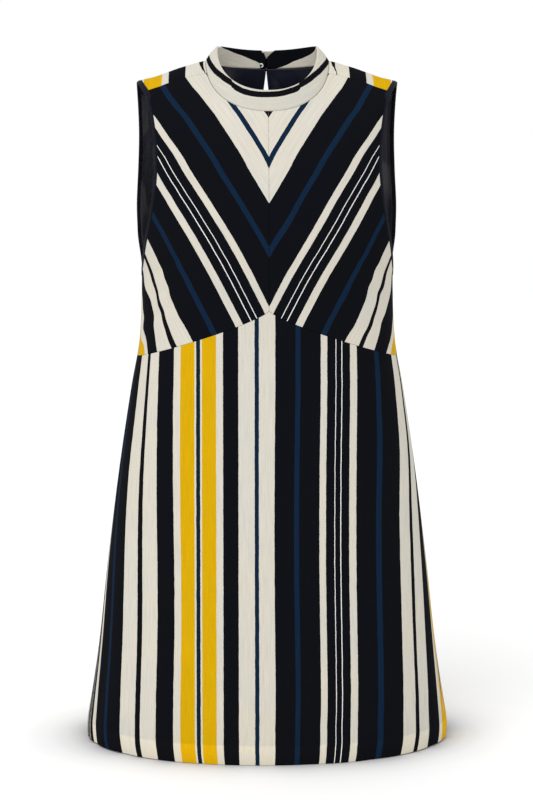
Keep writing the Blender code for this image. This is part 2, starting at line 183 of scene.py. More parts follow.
# Threads of half width from the centre back, and the print's threads there on the ridge.
SHOULDER_STRIPES = table(
    "reach thread",
    (0.0, 174.5), (40.0, 213.9), (67.1, 240.7), (83.0, 259.7), (100.0, 276.8), (106.9, 284.0),
    (125.2, 298.5), (150.0, 323.3))

STRIP_DEPTH = 0.019          # how far forward the shoulder strip reaches at the neck
WISP_AT = 240.7              # the thin band there, which narrows to a wisp towards its seam
# On the wearer's right and left: how much it narrows at the ridge, how much more at its seam, and
# the threads by which it leans.
WISPS = dict(zip((-1, 1), table("taper more lean", (0.2, 6.0, -5.0), (0.3, 6.5, 4.5))))
WISP_WINDOW = 3.5            # the threads on either side of it that narrow with it

BODICE_LEVEL = -0.0770       # the height of the centre front just under the collar
BODICE_TILT = 0.0993         # how much a point further forward counts as lower
# By the fall below BODICE_LEVEL: the threads at the centre front, and the threads that the
# print gains for each thread's width outwards.
BODICE_STRIPES = table(
    "fall centre spread",
    (-0.1000, 28.6, 0.675), (-0.0600, 42.6, 0.675), (-0.0300, 53.1, 0.668), (-0.0147, 58.4, 0.685),
    (0.0140, 67.7, 0.720), (0.0367, 75.0, 0.750), (0.0511, 79.1, 0.765), (0.0967, 95.4, 0.803),
    (0.1519, 116.0, 0.835), (0.2252, 141.5, 0.870), (0.2900, 164.2, 0.890))
RING_START = -0.060          # below this fall the outward way turns from level to round the ring
RING_REACH = 0.050
# The threads gained near the side seam and the shoulder, and the half width and fall where that sets in.
SIDE_GAINS = table(
    "side threads width width_reach fall fall_reach",
    (0, 4.5, 0.110, 0.045, 0.090, 0.070), (-1, -8.0, 0.110, 0.030, 0.225, 0.065),
    (-1, -4.5, 0.145, 0.015, 0.170, 0.030), (1, -4.5, 0.137, 0.018, 0.170, 0.030),
    (1, 4.8, 0.085, 0.050, -0.015, -0.045), (-1, 2.0, 0.140, 0.012, 0.240, 0.025),
    (-1, -7.5, 0.1545, 0.0075, 0.205, 0.020), (-1, 6.5, 0.1500, 0.0100, 0.249, 0.022),
    (-1, -1.8, 0.100, 0.012, 0.185, 0.025), (-1, 6.8, 0.136, 0.010, 0.185, 0.025),
    (-1, -5.0, 0.136, 0.010, 0.222, 0.025), (1, -2.0, 0.085, 0.020, 0.190, 0.025),
    (1, 2.0, 0.085, 0.020, 0.242, 0.016), (1, 4.0, 0.132, 0.012, 0.190, 0.025),
    (1, -4.0, 0.132, 0.012, 0.242, 0.020), (1, -5.0, 0.149, 0.008, 0.200, 0.030),
    (1, 4.2, 0.149, 0.008, 0.245, 0.028), (1, -3.2, 0.1575, 0.0040, 0.200, 0.030),
    (1, 2.0, 0.1575, 0.0040, 0.262, 0.012), (-1, 3.0, 0.100, 0.035, -0.035, -0.028))
BUST_SHIFT = -2.0            # threads lost over the bust on the wearer's left
BUST_FALL = 0.135
BUST_REACH = 0.045
BUST_START = 0.030           # the half width over which the loss sets in


def linear(*rgb):
    """A colour's linear values from its 0 to 255 ones."""
    return tuple((c / 255 / 12.92) if c <= 10 else ((c / 255 + 0.055) / 1.055) ** 2.4
                 for c in rgb)


COLORS = {
    "cream": linear(196, 192, 181), "white": linear(224, 224, 222),
    "black": linear(12, 13, 18), "blue": linear(13, 32, 54),
    "petrol": linear(16, 31, 42), "yellow": linear(196, 154, 8)}


# The surface, as the solids have it --------------------------------------------------------

def slopes(stations, values):
    """Slopes at the stations that keep a curve through the values from overshooting them."""
    steps = np.diff(stations)
    rises = np.diff(values) / steps
    result = np.concatenate(([rises[0]], np.zeros(len(values) - 2), [rises[-1]]))
    for i in range(1, len(values) - 1):
        if rises[i - 1] * rises[i] > 0:
            before = 2 * steps[i] + steps[i - 1]
            after = steps[i] + 2 * steps[i - 1]
            result[i] = (before + after) / (before / rises[i - 1] + after / rises[i])
    return result


def curve(rows, key, name, at):
    """A table's column name at any values of its column key, on a smooth curve through its rows."""
    keys = np.array([getattr(row, key) for row in rows])
    values = np.array([getattr(row, name) for row in rows])
    tilts = slopes(keys, values)
    at = np.clip(at, keys[0], keys[-1])
    row = np.clip(np.searchsorted(keys, at, side="right") - 1, 0, len(keys) - 2)
    step = keys[row + 1] - keys[row]
    u = (at - keys[row]) / step
    return ((1 + 2 * u) * (1 - u) ** 2 * values[row] + u * (1 - u) ** 2 * step * tilts[row]
            + u * u * (3 - 2 * u) * values[row + 1] + u * u * (u - 1) * step * tilts[row + 1])


def column(name, station):
    """One column of the table of sections at any station."""
    return curve(SECTIONS, "front", name, station)


def ring_point(angle, shape):
    """Points at the angles on rings whose sizes shape(name) gives."""
    turn = np.radians(angle)
    power = 2 / shape("squareness")
    ahead = np.cos(turn) >= 0
    reach = np.abs(np.cos(turn)) ** power
    x = shape("width") * np.abs(np.sin(turn)) ** power
    y = np.where(ahead, -shape("front_depth"), shape("back_depth")) * reach
    end = np.where(ahead, shape("front"), shape("back"))
    z = shape("side") + (end - shape("side")) * reach ** shape("drop")
    return np.stack([x, y, z], axis=-1)


def surface(place):
    """Points of the wearer's left half of the dress, from an array of angles and stations."""
    return ring_point(place[..., 0], lambda name: column(name, place[..., 1]))


def tangents(place):
    """How far the surface runs in one degree of angle, and in one metre of station."""
    turn, rise = np.array([0.5, 0.0]), np.array([0.0, 0.0005])
    more, less = place + turn, place - turn
    more[..., 0] = np.minimum(more[..., 0], BACK_ANGLE)
    less[..., 0] = np.maximum(less[..., 0], 0.0)
    by_angle = surface(more) - surface(less)
    by_station = (surface(place + rise) - surface(place - rise)) / (2 * rise[1])
    return by_angle, by_station


def normals(place):
    """The unit normals of the surface."""
    out = np.cross(*tangents(place))
    return out / np.linalg.norm(out, axis=-1)[..., None]


def inside(place, depth):
    """Points that lie a depth below the surface."""
    return surface(place) - depth * normals(place)


def places(angle, station):
    """An array of angles and stations, from numbers or arrays that go together."""
    return np.stack(np.broadcast_arrays(angle, station), axis=-1).astype(float)


def angle_at_width(half_width, width, squareness):
    """The angle behind the side at which a ring is half_width from the centre line."""
    return BACK_ANGLE - np.degrees(np.arcsin((half_width / width) ** (squareness / 2)))


ARC_ANGLES = np.arange(0.0, BACK_ANGLE + 1)
ARC_STATIONS = np.linspace(HEM.front, NECK.front, 161)
ARC_POINTS = surface(places(ARC_ANGLES[None], ARC_STATIONS[:, None]))[..., :2]
ARCS = np.concatenate([
    np.zeros((len(ARC_STATIONS), 1)),
    np.cumsum(np.linalg.norm(np.diff(ARC_POINTS, axis=1), axis=2), axis=1)], axis=1)


def arc(place):
    """The level distance from the centre front round the ring to each place."""
    row = np.interp(place[..., 1], ARC_STATIONS, np.arange(len(ARC_STATIONS)))
    col = np.clip(place[..., 0], 0, BACK_ANGLE)
    i = np.minimum(row.astype(int), len(ARC_STATIONS) - 2)
    j = np.minimum(col.astype(int), len(ARC_ANGLES) - 2)
    u, v = row - i, col - j
    return ((1 - u) * ((1 - v) * ARCS[i, j] + v * ARCS[i, j + 1])
            + u * ((1 - v) * ARCS[i + 1, j] + v * ARCS[i + 1, j + 1]))


# Lines on the surface ----------------------------------------------------------------------

def waist_seam(angle):
    """The station of the arched waist seam at each angle of the front."""
    station = np.full(np.shape(angle), SEAM_PEAK)
    for _ in range(6):
        out = surface(places(angle, station))[..., 0] / SEAM_REACH
        station = SEAM_PEAK - SEAM_DROP * out ** SEAM_CURVE
    return station


def smooth_loop(points):
    """A closed smooth curve through the points, with CURVE_STEPS steps from each to the next."""
    points = np.array(points, dtype=float)
    u = np.linspace(0, 1, CURVE_STEPS, endpoint=False)[:, None]
    legs = []
    for i in range(len(points)):
        a, b, c, d = (points[(i + k) % len(points)] for k in (-1, 0, 1, 2))
        legs.append(0.5 * (2 * b + (c - a) * u + (2 * a - 5 * b + 4 * c - d) * u ** 2
                           + (3 * b - a - 3 * c + d) * u ** 3))
    return np.concatenate(legs + [points[:1]])


def evenly(line, count):
    """The same line on the surface with count equal steps."""
    lengths = np.linalg.norm(np.diff(surface(line), axis=0), axis=1)
    along = np.concatenate(([0], np.cumsum(lengths)))
    wanted = np.linspace(0, along[-1], count + 1)
    return np.stack([np.interp(wanted, along, line[:, i]) for i in (0, 1)], axis=-1)


def armhole_loop():
    """The finished armhole edge: underarm, front, shoulder seam, ridge, back, underarm."""
    dense = smooth_loop(ARMHOLE_FRONT + ARMHOLE_BACK)
    corner = (len(ARMHOLE_FRONT) - 1) * CURVE_STEPS
    front = evenly(dense[:corner + 1], FRONT_ARMHOLE_ROWS)
    back = evenly(dense[corner:], BACK_ARMHOLE_ROWS)
    return np.concatenate([front, back[1:-1]])


def set_back(loop, distance):
    """A closed clockwise line moved on the surface, away from the hole that it runs round."""
    tangent = np.roll(loop, -1, axis=0) - np.roll(loop, 1, axis=0)
    by_angle, by_station = tangents(loop)
    run = by_angle * tangent[:, :1] + by_station * tangent[:, 1:]
    out = np.cross(by_angle, by_station)
    away = np.cross(out, run)
    away *= distance / np.linalg.norm(away, axis=1)[:, None]
    moved = np.empty_like(loop)
    for i, (a, s, w) in enumerate(zip(by_angle, by_station, away)):
        moved[i] = loop[i] + np.linalg.solve([[a @ a, a @ s], [a @ s, s @ s]], [a @ w, s @ w])
    return moved


ARMHOLE = armhole_loop()
PANEL_ARMHOLE = set_back(ARMHOLE, BINDING_WIDTH + SEAM_GAP / 2)
UNDERARM = PANEL_ARMHOLE[0]
SHOULDER_CORNER = PANEL_ARMHOLE[FRONT_ARMHOLE_ROWS]
FRONT_EDGE = PANEL_ARMHOLE[:FRONT_ARMHOLE_ROWS + 1]
BACK_EDGE = np.concatenate([PANEL_ARMHOLE[FRONT_ARMHOLE_ROWS:], PANEL_ARMHOLE[:1]])[::-1]
BACK_REACH = BACK_EDGE[:, 0].max() + 1.0    # no part of the armhole's edge is further round
SLIGHT = 1e-6                # keeps a point at a corner from counting as past it
SIDE_WORD = {1: "left", -1: "right"}


def line(start, end, shares):
    """A straight line of angles and stations at the shares of its length."""
    shares = np.asarray(shares)[:, None]
    return (1 - shares) * np.array(start) + shares * np.array(end)


def even(count):
    """The shares of a whole at count equal steps."""
    return np.linspace(0, 1, count + 1)


def keyhole_half_width(depth):
    """Half the width of the teardrop slit at a depth below the neck edge."""
    share = np.clip((depth - KEYHOLE_CLOSED) / (KEYHOLE_LENGTH - KEYHOLE_CLOSED), 0, 1)
    flare = KEYHOLE_FLARE * share * np.sqrt(1 - share ** 8)
    return flare + KEYHOLE_TOP * (1 - share)


# Grids of places ---------------------------------------------------------------------------

def across(count):
    """Shares of the quarter turn from the centre to the side that step evenly on the cloth."""
    t = even(count)
    return np.arctan2(t ** 1.15, (1 - t) ** 1.15) * 2 / np.pi


def patch(bottom, top, start, end, u):
    """Angles and stations filling the space between four edges that share their corners."""
    v = even(len(start) - 1)[:, None, None]
    u = u[None, :, None]
    rows = (1 - v) * bottom[None] + v * top[None]
    columns = (1 - u) * start[:, None] + u * end[:, None]
    corners = ((1 - u) * (1 - v) * bottom[0] + u * (1 - v) * bottom[-1]
               + (1 - u) * v * top[0] + u * v * top[-1])
    return rows + columns - corners


def finer_edges(grid):
    """The grid with extra lines close to its four edges."""
    for axis in (0, 1):
        count = grid.shape[axis]
        shares = np.array(EDGE_SHARES)
        index = np.concatenate([[0], shares, np.arange(1, count - 1),
                                count - 1 - shares[::-1], [count - 1]])
        low = np.minimum(index.astype(int), count - 2)
        part = index - low
        part = part[:, None, None] if axis == 0 else part[None, :, None]
        grid = ((1 - part) * np.take(grid, low, axis) + part * np.take(grid, low + 1, axis))
    return grid


def front_bodice_places():
    """A bodice half, from the centre front to the side seam, armhole and shoulder seam."""
    u = across(COLUMNS)
    angles = SIDE_ANGLE * u
    seam = waist_seam(angles)
    neck_corner = (SHOULDER_SEAM_AT_NECK, NECK.front)
    side = line((SIDE_ANGLE, seam[-1]), UNDERARM, even(BODICE_SIDE_ROWS))
    shoulder = line(SHOULDER_CORNER, neck_corner, even(SHOULDER_ROWS))
    end = np.concatenate([side, FRONT_EDGE[1:], shoulder[1:]])
    start = line((0, seam[0]), (0, NECK.front), even(len(end) - 1))
    top = line((0, NECK.front), neck_corner, u)
    return patch(places(angles, seam), top, start, end, u)


def back_places():
    """A back panel, from the side seam, armhole and shoulder seam to the centre back."""
    neck_corner = (SHOULDER_SEAM_AT_NECK, NECK.front)
    side = line((SIDE_ANGLE, HEM.front), UNDERARM, even(BACK_SIDE_ROWS))
    shoulder = line(SHOULDER_CORNER, neck_corner, even(SHOULDER_ROWS))
    start = np.concatenate([side, BACK_EDGE[1:], shoulder[1:]])
    lower = np.linspace(HEM.front, UNDERARM[1], BACK_SIDE_ROWS + 1)
    upper = np.linspace(UNDERARM[1], NECK.front, len(start) - BACK_SIDE_ROWS)
    stations = np.concatenate([lower, upper[1:]])
    depth = NECK.back - column("back", stations)
    slit = np.where(depth < KEYHOLE_LENGTH, keyhole_half_width(depth), 0)
    angles = angle_at_width(slit, column("width", stations), column("squareness", stations))
    end = places(angles, stations)
    u = across(COLUMNS)
    return patch(line(start[0], end[0], u), line(start[-1], end[-1], u), start, end, u)


def front_skirt_places():
    """Half of the front skirt, from the hem to the waist seam."""
    angles = SIDE_ANGLE * across(COLUMNS)
    share = even(SKIRT_ROWS)[:, None]
    return places(angles, (1 - share) * HEM.front + share * waist_seam(angles))


# The fall of the cloth ---------------------------------------------------------------------

# Soft vertical troughs: the turn in degrees from the centre front, positive on the wearer's
# left, the heights between which they run, how far they lean on the way down, and their size.
TROUGHS = table(
    "turn low high lean width depth",
    (-148, -0.86, -0.40, -4, 0.020, 0.0030), (-118, -0.86, -0.46, 3, 0.016, 0.0034),
    (-96, -0.86, -0.42, -3, 0.014, 0.0028), (-71, -0.86, -0.52, 2, 0.013, 0.0024),
    (-47, -0.86, -0.60, -2, 0.018, 0.0020), (-21, -0.86, -0.66, 1, 0.015, 0.0013),
    (9, -0.86, -0.64, 2, 0.020, 0.0014), (33, -0.86, -0.56, -1, 0.017, 0.0018),
    (58, -0.86, -0.50, 3, 0.015, 0.0022), (82, -0.86, -0.44, 2, 0.014, 0.0030),
    (106, -0.86, -0.48, -3, 0.017, 0.0032), (132, -0.86, -0.42, 4, 0.021, 0.0030),
    (160, -0.86, -0.50, 2, 0.018, 0.0026), (-136, -0.40, -0.24, 5, 0.016, 0.0018),
    (141, -0.41, -0.23, -6, 0.015, 0.0019), (-160, -0.37, -0.26, -3, 0.012, 0.0012),
    (158, -0.38, -0.27, 4, 0.012, 0.0013))

# Short drags on the front, from one point to another.
CREASES = table(
    "x0 z0 x1 z1 width depth",
    (-0.150, -0.262, -0.098, -0.226, 0.006, 0.0012), (-0.146, -0.284, -0.104, -0.262, 0.005, 0.0009),
    (-0.154, -0.318, -0.118, -0.292, 0.006, 0.0010), (0.152, -0.258, 0.094, -0.232, 0.006, 0.0012),
    (0.148, -0.289, 0.110, -0.259, 0.005, 0.0010), (0.153, -0.325, 0.124, -0.301, 0.006, 0.0009),
    (-0.128, -0.172, -0.104, -0.136, 0.007, 0.0008), (0.129, -0.166, 0.107, -0.128, 0.007, 0.0008))


def smooth(t):
    """A smooth step from 0 at t = 0 to 1 at t = 1."""
    t = np.clip(t, 0, 1)
    return t * t * (3 - 2 * t)


HEM_CURL = 0.0028            # how far the hem's edge turns in
HEM_CURL_HEIGHT = 0.029
TROUGH_RIM = (0.55, 2.2)     # the swell beside a trough, in shares of its depth and width
TROUGH_RAMP = 2.2            # how steeply a trough that ends above the hem sets in
CREASE_RIM = (0.5, 1.6, 1.3)    # the swell above a crease: its height, place and width
CREASE_RAMP = 2.5
CREASE_FADE = 0.03           # the depth over which creases set in on the front


def between(t, steepness):
    """A smooth rise from 0 where t is 0, and a fall back to 0 where t is 1."""
    return smooth(steepness * t) * smooth(steepness * (1 - t))


def relief(points, turn, station):
    """How far the cloth stands out of the plain surface, from its troughs and creases."""
    height = points[..., 2]
    rise = -HEM_CURL * np.clip((HEM.front + HEM_CURL_HEIGHT - height) / HEM_CURL_HEIGHT, 0, 1) ** 2
    per_degree = ARCS[np.searchsorted(ARC_STATIONS, np.clip(station, HEM.front, NECK.front))
                      .clip(0, len(ARC_STATIONS) - 1), -1] / BACK_ANGLE
    for t in TROUGHS:
        down = (t.high - height) / (t.high - t.low)
        share = smooth(down) if t.low < HEM.front else between(down, TROUGH_RAMP)
        off = (turn - t.turn - t.lean * down) * per_degree / t.width
        swell, reach = TROUGH_RIM
        rise -= t.depth * share * (np.exp(-off ** 2) - swell * np.exp(-(off / reach) ** 2))
    front = smooth(-points[..., 1] / CREASE_FADE)
    for c in CREASES:
        run = np.array([c.x1 - c.x0, c.z1 - c.z0])
        length = np.linalg.norm(run)
        x, z = points[..., 0] - c.x0, height - c.z0
        along = (x * run[0] + z * run[1]) / length ** 2
        off = (x * run[1] - z * run[0]) / length / c.width
        swell, place, reach = CREASE_RIM
        rim = swell * np.exp(-((off - place) / reach) ** 2)
        rise -= c.depth * between(along, CREASE_RAMP) * front * (np.exp(-off ** 2) - rim)
    return rise


# Stripes -----------------------------------------------------------------------------------

def bodice_stripe(place, points, side):
    """The threads counted outwards and down from the centre front of a bodice half."""
    fall = BODICE_LEVEL - points[..., 2] - BODICE_TILT * (NECK.front_depth + points[..., 1])
    width = np.abs(points[..., 0])
    reach = width + smooth((fall - RING_START) / RING_REACH) * (arc(place) - width)
    centre, spread = (curve(BODICE_STRIPES, "fall", name, fall) for name in ("centre", "spread"))
    count = centre + spread * reach / PITCH
    for g in SIDE_GAINS:
        if g.side in (0, side):
            count += (g.threads * smooth((width - g.width) / g.width_reach)
                      * smooth((fall - g.fall) / g.fall_reach))
    if side > 0:
        bust = np.exp(-((fall - BUST_FALL) / BUST_REACH) ** 2)
        count += BUST_SHIFT * bust * smooth(width / BUST_START)
    return count


def back_stripe(place, points, side):
    """The threads counted from the centre back, level round the ring and true at the ridge."""
    ring = arc(places(BACK_ANGLE, place[..., 1])) - arc(place)
    ridge = curve(SHOULDER_STRIPES, "reach", "thread", np.abs(points[..., 0]) / PITCH)
    low, high = SHOULDER_LEVELS
    share = smooth((points[..., 2] - low) / (high - low))
    count = (1 - share) * (BACK_AT_CENTRE + ring / PITCH) + share * ridge
    ahead = np.clip(-points[..., 1] / STRIP_DEPTH, 0, 1)
    wisp = WISPS[side]
    off = count - WISP_AT - wisp.lean * ahead
    near = share * np.exp(-(off / WISP_WINDOW) ** 2)
    return count + (wisp.taper + wisp.more * ahead ** 2) * off * near


def skirt_stripe(place, turn, points):
    """The threads counted across the skirt from the middle of its front, on either side."""
    x, height = points[..., 0], points[..., 2]
    draw = np.clip((HEM.front + HEM_DRAW_HEIGHT - height) / HEM_DRAW_HEIGHT, 0, 1)
    reach = arc(place) / PITCH * (1 + HEM_DRAW * draw ** 2)
    left = curve(SKIRT_STRIPES, "reach", "left", reach)
    right = curve(SKIRT_STRIPES, "reach", "right", reach)
    count = SKIRT_AT_FRONT + np.where(turn > 0, left, -right)
    for g in SKIRT_GAINS:
        beyond = np.maximum(reach - g.reach, 0) * smooth((reach - g.reach) / GAIN_START)
        beyond = beyond * np.exp(-((height - g.height) / g.spread) ** 2)
        count += g.side * g.gain * beyond * (turn * g.side > 0)
    left, right = (curve(SKIRT_SWAYS, "height", name, height) for name in ("left", "right"))
    return (count + left * smooth((x - SWAY_LEFT[0]) / SWAY_LEFT[1])
            + right * smooth((-x - SWAY_RIGHT[0]) / SWAY_RIGHT[1]))


# Meshes ------------------------------------------------------------------------------------

def placed(name, data):
    """A new object of the scene that shows the data."""
    thing = bpy.data.objects.new(name, data)
    bpy.context.scene.collection.objects.link(thing)
    return thing


def mesh_object(name, points, faces, smooth_faces=True):
    data = bpy.data.meshes.new(name)
    data.from_pydata([tuple(p) for p in points], [], [tuple(f) for f in faces])
    data.update()
    if smooth_faces:
        data.shade_smooth()
    return placed(name, data)


def attribute(piece, name, values):
    """Keeps a value for each of a piece's points."""
    layer = piece.data.attributes.new(name, "FLOAT", "POINT")
    layer.data.foreach_set("value", np.asarray(values, dtype=np.float32).ravel())


def quads(rows, columns, first=0, flip=False):
    """The faces of a grid of rows by columns of points, numbered from first."""
    index = first + np.arange(rows * columns).reshape(rows, columns)
    a, b, c, d = index[:-1, :-1], index[:-1, 1:], index[1:, 1:], index[1:, :-1]
    order = (d, c, b, a) if flip else (a, b, c, d)
    return np.stack(order, axis=-1).reshape(-1, 4)


def border(rows, columns):
    """The numbers of the points round a grid, in order."""
    index = np.arange(rows * columns).reshape(rows, columns)
    return np.concatenate([index[0], index[1:, -1], index[-1, -2::-1], index[-2:0:-1, 0]])


OUTSIDE, INSIDE, LINED = 0, 1, 2    # the places of a sheet's finishes in its list


def shell(name, outer, inner, finishes, stripe, along, inner_slots=INSIDE, rim_slots=OUTSIDE):
    """A closed sheet of cloth between two grids of points, with its stripes on both faces."""
    rows, columns = outer.shape[:2]
    count = rows * columns
    front = quads(rows, columns)
    back = quads(rows, columns, count, flip=True)
    ring = border(rows, columns)
    after = np.roll(ring, -1)
    rim = np.stack([after, ring, ring + count, after + count], axis=-1)
    points = np.concatenate([outer.reshape(-1, 3), inner.reshape(-1, 3)])
    piece = mesh_object(name, points, np.concatenate([front, back, rim]))
    attribute(piece, "stripe", np.tile(np.asarray(stripe).ravel(), 2))
    attribute(piece, "along", np.tile(np.asarray(along).ravel(), 2))
    for finish in finishes:
        piece.data.materials.append(finish)
    inner_slots = np.broadcast_to(inner_slots, (rows, columns))[:-1, :-1].ravel()
    rim_slots = np.broadcast_to(rim_slots, (rows, columns)).ravel()[ring]
    slots = np.concatenate([np.full(len(front), OUTSIDE), inner_slots, rim_slots])
    piece.data.polygons.foreach_set("material_index", slots.astype(np.int32))
    return piece


def edge_distance(points, axis, from_end):
    """Each point's distance along its row or column from one end of it."""
    steps = np.linalg.norm(np.diff(points, axis=axis), axis=2)
    if from_end:
        steps = np.flip(steps, axis)
    total = np.cumsum(steps, axis=axis)
    zero = np.zeros_like(np.take(total, [0], axis))
    total = np.concatenate([zero, total], axis=axis)
    return np.flip(total, axis) if from_end else total


SEAM_DIP = 0.0003            # how far the cloth turns down into a seam
SEAM_ROUND = 0.0012          # and over what width
SEAM_HELD = 0.00004          # the seams are held closed on the inside
EDGES = {"bottom": (0, False), "top": (0, True), "start": (1, False), "end": (1, True)}


def seam_dip(points, edges):
    """How far the cloth turns down into its seams at the named edges."""
    dip = np.zeros(points.shape[:2])
    for edge in edges:
        near = 1 - np.clip(edge_distance(points, *EDGES[edge]) / SEAM_ROUND, 0, 1)
        dip = np.maximum(dip, SEAM_DIP * near ** 2)
    return dip


def draw_in(grid, distance):
    """Move each edge of a grid of points inwards by a distance, square to the edge."""
    for edge, inner in ((grid[0], grid[1]), (grid[-1], grid[-2]),
                        (grid[:, 0], grid[:, 1]), (grid[:, -1], grid[:, -2])):
        along = np.gradient(edge, axis=0)
        along /= np.linalg.norm(along, axis=1)[:, None]
        inwards = inner - edge
        inwards -= np.sum(inwards * along, axis=1)[:, None] * along
        edge += distance * inwards / np.linalg.norm(inwards, axis=1)[:, None]
    return grid


def cloth_faces(base, out, rise):
    """The outer and inner faces of a panel's cloth."""
    return (draw_in(base + rise[..., None] * out, SEAM_GAP / 2),
            draw_in(base + (rise - CLOTH_WALL)[..., None] * out, SEAM_HELD / 2))


def mirror(grid):
    """A grid of points on the other side of the dress."""
    return grid[:, ::-1] * (-1, 1, 1)


def both(values, side):
    """Values on a grid of the left half, in the order that the side's own grid has."""
    return values if side > 0 else values[:, ::-1]


def panel(name, place, side, stripe_of, seams, finishes, inner_slots=INSIDE, rim_slots=OUTSIDE):
    """A cloth panel on the wearer's left (side 1) or right (side -1) of the dress."""
    base, out = surface(place), normals(place)
    seen = base * (side, 1, 1)
    rise = relief(seen, side * place[..., 0], place[..., 1]) - seam_dip(base, seams)
    outer, inner = cloth_faces(base, out, rise)
    stripe, along = stripe_of(place, base, side), base[..., 2]
    if side < 0:
        outer, inner = mirror(outer), mirror(inner)
    inner_slots, rim_slots = (
        both(np.broadcast_to(slots, base.shape[:2]), side) for slots in (inner_slots, rim_slots))
    return shell(name, outer, inner, finishes,
                 both(stripe, side), both(along, side), inner_slots, rim_slots)


def back_panel(side, finishes):
    """A back panel: its hem is turned up inside, and its upper part lies against the lining."""
    place = finer_edges(back_places())
    station = place[..., 1]
    height = surface(place)[..., 2]
    inner_slots = np.where(station > LINING_HEM, LINED, INSIDE)
    inner_slots[height < HEM.front + HEM_TURN] = OUTSIDE
    armhole = ((station > UNDERARM[1] + SLIGHT) & (station < SHOULDER_CORNER[1] - SLIGHT)
               & (place[..., 0] < BACK_REACH))
    return panel("back_cloth_" + SIDE_WORD[side], place, side, back_stripe,
                 ("top", "start", "end"), finishes, inner_slots, np.where(armhole, LINED, OUTSIDE))


# Pieces ------------------------------------------------------------------------------------

def front_skirt(finishes):
    """The front skirt, in one width from side seam to side seam."""
    half = front_skirt_places()
    place = finer_edges(np.concatenate([half[:, ::-1][:, :-1], half], axis=1))
    columns = place.shape[1]
    turn = place[..., 0].copy()
    middle = columns // 2
    turn[:, :middle] *= -1
    side = np.where(np.arange(columns) < middle, -1.0, 1.0)[None, :, None]
    flip = np.concatenate([side, np.ones_like(side), np.ones_like(side)], axis=2)
    base, out = surface(place) * flip, normals(place) * flip
    base[:, middle, 0] = 0.0
    out[:, middle, 0] = 0.0
    rise = relief(base, turn, place[..., 1]) - seam_dip(base, ("top", "start", "end"))
    outer, inner = cloth_faces(base, out, rise)
    turned = np.where(base[..., 2] < HEM.front + HEM_TURN, OUTSIDE, INSIDE)
    return shell("front_skirt_cloth", outer, inner, finishes,
                 skirt_stripe(place, turn, base), base[..., 2], turned)


LINING_SLACK = 0.0009
LINING_LEAN = 26.0           # the degrees by which its folds lean for each metre of height
LINING_HELD = 0.02           # its folds fade out this near to its seams
LINING_WAVES = table("size count phase climb",
                     (1.0, 7.1, 0.0, 0.0), (0.6, 12.7, 70.0, 0.0), (0.5, 4.3, 25.0, 31.0))


def lining_relief(points, turn):
    """How far the slack lining hangs inside its plain surface, in soft upright folds."""
    height = points[..., 2]
    lean = turn + LINING_LEAN * height
    return LINING_SLACK * sum(
        w.size * (1 + np.sin(np.radians(lean * w.count + w.phase) + height * w.climb))
        for w in LINING_WAVES)


def back_lining(side, finish):
    """The satin lining of a back half, which hangs slack inside it."""
    place = back_places()
    place = finer_edges(place[int(np.argmax(place[:, 0, 1] > LINING_HEM)):])
    base, out = surface(place), normals(place)
    near = np.minimum.reduce([edge_distance(base, *EDGES[edge]) for edge in ("start", "end", "top")])
    slack = lining_relief(base, side * place[..., 0]) * smooth(near / LINING_HELD)
    depth = CLOTH_WALL + LINING_GAP + slack
    outer = draw_in(base - depth[..., None] * out, LINING_INSET)
    inner = draw_in(base - (depth + LINING_WALL)[..., None] * out, LINING_INSET)
    if side < 0:
        outer, inner = mirror(outer), mirror(inner)
    zero = np.zeros(outer.shape[:2])
    return shell("back_lining_satin_" + SIDE_WORD[side], outer, inner, [finish], zero, zero,
                 OUTSIDE)


# The print's threads at the collar's foot on each side, and how many more lie at its top.
COLLAR_STRIPES = table(
    "angle right left height",
    (0, 226.0, 226.0, 19.4), (12, 226.3, 225.6, 19.4), (24, 226.0, 224.7, 19.4),
    (37, 225.3, 224.7, 19.4), (54, 226.8, 226.0, 19.2), (70, 230.4, 229.9, 19.0),
    (82, 234.1, 235.0, 18.6), (92, 237.2, 240.2, 18.2), (105, 240.6, 243.9, 17.8),
    (117, 243.1, 247.2, 17.5), (134, 244.9, 250.2, 17.3), (150, 247.4, 253.0, 17.1),
    (163, 250.4, 257.0, 17.0), (172, 253.6, 259.7, 16.9), (174.6, 255.0, 260.4, 16.9),
    (175.8, 261.0, 260.8, 16.9), (180, 263.0, 262.0, 16.8))
TUCKS_AT = (-0.0440, 0.0385)  # where the front of the collar has its two small tucks
TUCK_STEP = 1.8              # the threads by which its stripes step there
TUCK_WIDTH = 0.0006
TUCK_REACH = 0.018           # how far from the tuck the step fades out
TUCK_DEPTH = 0.0005
COLLAR_HEIGHT = 0.0255       # up its face
COLLAR_HALF_LENGTH = 0.18    # about the way from its middle to an end
COLLAR_BOW = 0.0006          # how far its middle swells out
COLLAR_SLACK = 0.0004
COLLAR_WAVES = 5.3           # the waves of its slack in a full turn
COLLAR_ALONG = 0.0012        # metres of its cloth for each degree
COLLAR_SEAM_GAP = 0.0001     # its foot is sewn close to the panels
COLLAR_SEAM_DIP = 0.00015
COLLAR_SEAM_ROUND = 0.0010
NOTCH_CURVE = 1.25
ROUNDED = 0.97               # the most that a rounded edge draws back, in shares of its radius


def collar_face(share, angles):
    """Points of the collar's outer face at shares of its height."""
    base = ring_point(angles, lambda name: getattr(NECK, name))
    top = ring_point(angles, lambda name: getattr(COLLAR_TOP, name))
    behind = np.clip(top[..., 1] / COLLAR_TOP.back_depth, 0, 1)
    top[..., 2] += COLLAR_LIFT * 4 * behind * (1 - behind)
    return base + share[..., None] * (top - base)


def back_angle(half_width):
    """The angle at which the collar is half_width from the centre back."""
    return float(angle_at_width(half_width, COLLAR_TOP.width, COLLAR_TOP.squareness))


